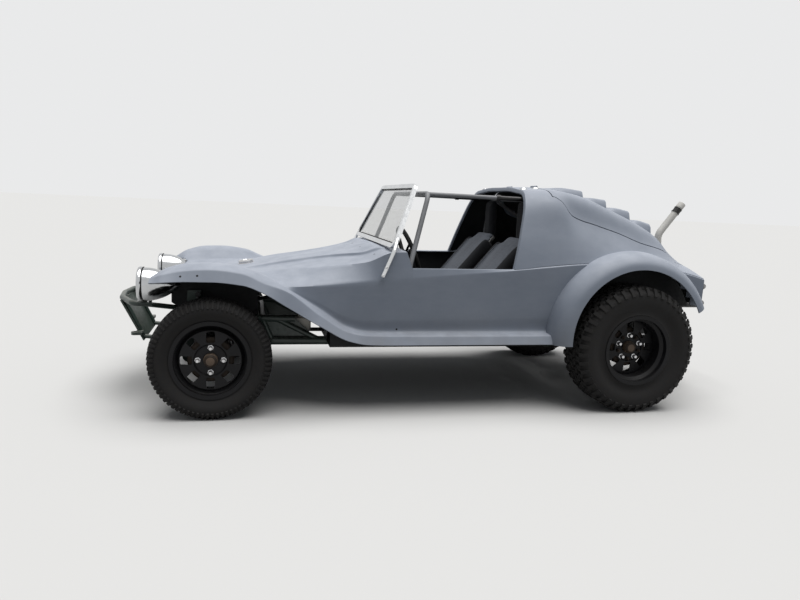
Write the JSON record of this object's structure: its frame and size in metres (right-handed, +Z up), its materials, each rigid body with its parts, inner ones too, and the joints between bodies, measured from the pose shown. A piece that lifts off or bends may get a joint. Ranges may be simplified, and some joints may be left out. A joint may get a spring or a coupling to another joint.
{
  "type": "dune buggy",
  "caption": "Open two-seat dune buggy with a hardtop and louvred engine lid, wide rear tyres, front steering, bullet headlamps and an upright exhaust.",
  "frame": {"origin": "on the ground under the middle of the whole car", "axes": "+X to the car's front, +Y to its left, +Z up"},
  "size_m": [3.8217, 1.626, 1.3064],
  "materials": {
    "tyre_rubber": "dull black, a little dusty",
    "wheel_paint": "satin black",
    "drum_iron": "dull, lightly rusted",
    "body_paint": "flat grey primer",
    "frame_alloy": "brushed",
    "screen_glass": "clear",
    "chassis_paint": "dark green gloss, scuffed",
    "forged_steel": "dull steel",
    "link_steel": "plated steel",
    "gear_alloy": "cast, oily",
    "wheel_trim": "black grip",
    "column_paint": "satin black",
    "shock_paint": "black",
    "pan_paint": "black undercoat",
    "engine_alloy": "cast and sheet, oily",
    "exhaust_paint": "white heat paint",
    "cage_paint": "grey primer",
    "seat_cloth": "dark grey cloth",
    "dash_board": "black",
    "lever_steel": "dull steel",
    "bumper_paint": "satin black",
    "lamp_chrome": "polished",
    "lamp_glass": "clear, fluted",
    "red_lens": "red",
    "reservoir_plastic": "milky, yellowed",
    "cap_chrome": "dull chrome"
  },
  "bodies": {
    "chassis": {"body_tub": "body_paint", "brake_reservoir": "reservoir_plastic", "bulkheads": "pan_paint", "chassis_frame": "chassis_paint", "dashboard": "dash_board", "engine": "engine_alloy", "exhaust": "exhaust_paint", "floor_pan": "pan_paint", "front_arms": "chassis_paint", "front_beam": "chassis_paint", "front_bumper": "chassis_paint", "front_shocks": "shock_paint", "fuel_cap": "cap_chrome", "half_shafts": "forged_steel", "hardtop": "body_paint", "headlamp_lenses": "lamp_glass", "headlamps": "lamp_chrome", "inner_fenders": "pan_paint", "levers": "lever_steel", "rear_arms": "chassis_paint", "rear_bumper": "bumper_paint", "rear_shocks": "shock_paint", "roll_cage": "cage_paint", "seat_left": "seat_cloth", "seat_right": "seat_cloth", "steering_box": "gear_alloy", "steering_column": "column_paint", "tail_lamps": "red_lens", "torsion_housing": "chassis_paint", "transaxle": "gear_alloy", "wheel_wells": "pan_paint", "windshield_frame": "frame_alloy", "windshield_glass": "screen_glass"},
    "wheel_front_left": {"tyre_front_left": "tyre_rubber", "rim_front_left": "wheel_paint", "drum_front_left": "drum_iron"},
    "wheel_front_right": {"tyre_front_right": "tyre_rubber", "rim_front_right": "wheel_paint", "drum_front_right": "drum_iron"},
    "wheel_rear_left": {"tyre_rear_left": "tyre_rubber", "rim_rear_left": "wheel_paint", "drum_rear_left": "drum_iron"},
    "wheel_rear_right": {"tyre_rear_right": "tyre_rubber", "rim_rear_right": "wheel_paint", "drum_rear_right": "drum_iron"},
    "knuckle_left": {"knuckle_left": "forged_steel"},
    "knuckle_right": {"knuckle_right": "forged_steel"},
    "tie_rod_left": {"tie_rod_left": "link_steel"},
    "tie_rod_right": {"tie_rod_right": "link_steel"},
    "pitman_arm": {"pitman_arm": "forged_steel"},
    "steering_wheel": {"steering_wheel": "wheel_trim"},
    "engine_lid": {"engine_lid": "body_paint"}
  },
  "joints": [
    {"name": "steer_left", "type": "hinge", "parent": "chassis", "child": "knuckle_left", "pos_m": [1.347, 0.575, 0.3145], "axis": [0, 0, 1], "range_deg": [-28, 28]},
    {"name": "steer_right", "type": "hinge", "parent": "chassis", "child": "knuckle_right", "pos_m": [1.347, -0.575, 0.3145], "axis": [0, 0, 1], "range_deg": [-28, 28]},
    {"name": "pitman_turn", "type": "hinge", "parent": "chassis", "child": "pitman_arm", "pos_m": [1.347, 0, 0.35], "axis": [0, 0, 1], "range_deg": [-28, 28]},
    {"name": "tie_rod_left_swing", "type": "hinge", "parent": "knuckle_left", "child": "tie_rod_left", "pos_m": [1.247, 0.575, 0.385], "axis": [0, 0, 1], "range_deg": [-28, 28]},
    {"name": "tie_rod_right_swing", "type": "hinge", "parent": "knuckle_right", "child": "tie_rod_right", "pos_m": [1.247, -0.575, 0.385], "axis": [0, 0, 1], "range_deg": [-28, 28]},
    {"name": "steering_wheel_turn", "type": "hinge", "parent": "chassis", "child": "steering_wheel", "pos_m": [0.222, 0.29, 0.86], "axis": [-0.9272, 0, 0.3746], "range_deg": [-392, 392]},
    {"name": "engine_lid_hinge", "type": "hinge", "parent": "chassis", "child": "engine_lid", "pos_m": [-0.5945, 0, 1.299], "axis": [0, 1, 0], "range_deg": [0, 60]},
    {"name": "front_left_spin", "type": "hinge", "parent": "knuckle_left", "child": "wheel_front_left", "pos_m": [1.347, 0.678, 0.3145], "axis": [0, 1, 0], "continuous": true},
    {"name": "front_right_spin", "type": "hinge", "parent": "knuckle_right", "child": "wheel_front_right", "pos_m": [1.347, -0.678, 0.3145], "axis": [0, 1, 0], "continuous": true},
    {"name": "rear_left_spin", "type": "hinge", "parent": "chassis", "child": "wheel_rear_left", "pos_m": [-1.053, 0.695, 0.3735], "axis": [0, 1, 0], "continuous": true},
    {"name": "rear_right_spin", "type": "hinge", "parent": "chassis", "child": "wheel_rear_right", "pos_m": [-1.053, -0.695, 0.3735], "axis": [0, 1, 0], "continuous": true}
  ],
  "couplings": [
    {"joint": "steer_right", "follows": "steer_left", "ratio": 1},
    {"joint": "pitman_turn", "follows": "steer_left", "ratio": 1},
    {"joint": "tie_rod_left_swing", "follows": "steer_left", "ratio": -1},
    {"joint": "tie_rod_right_swing", "follows": "steer_left", "ratio": -1},
    {"joint": "steering_wheel_turn", "follows": "steer_left", "ratio": 14}
  ]
}
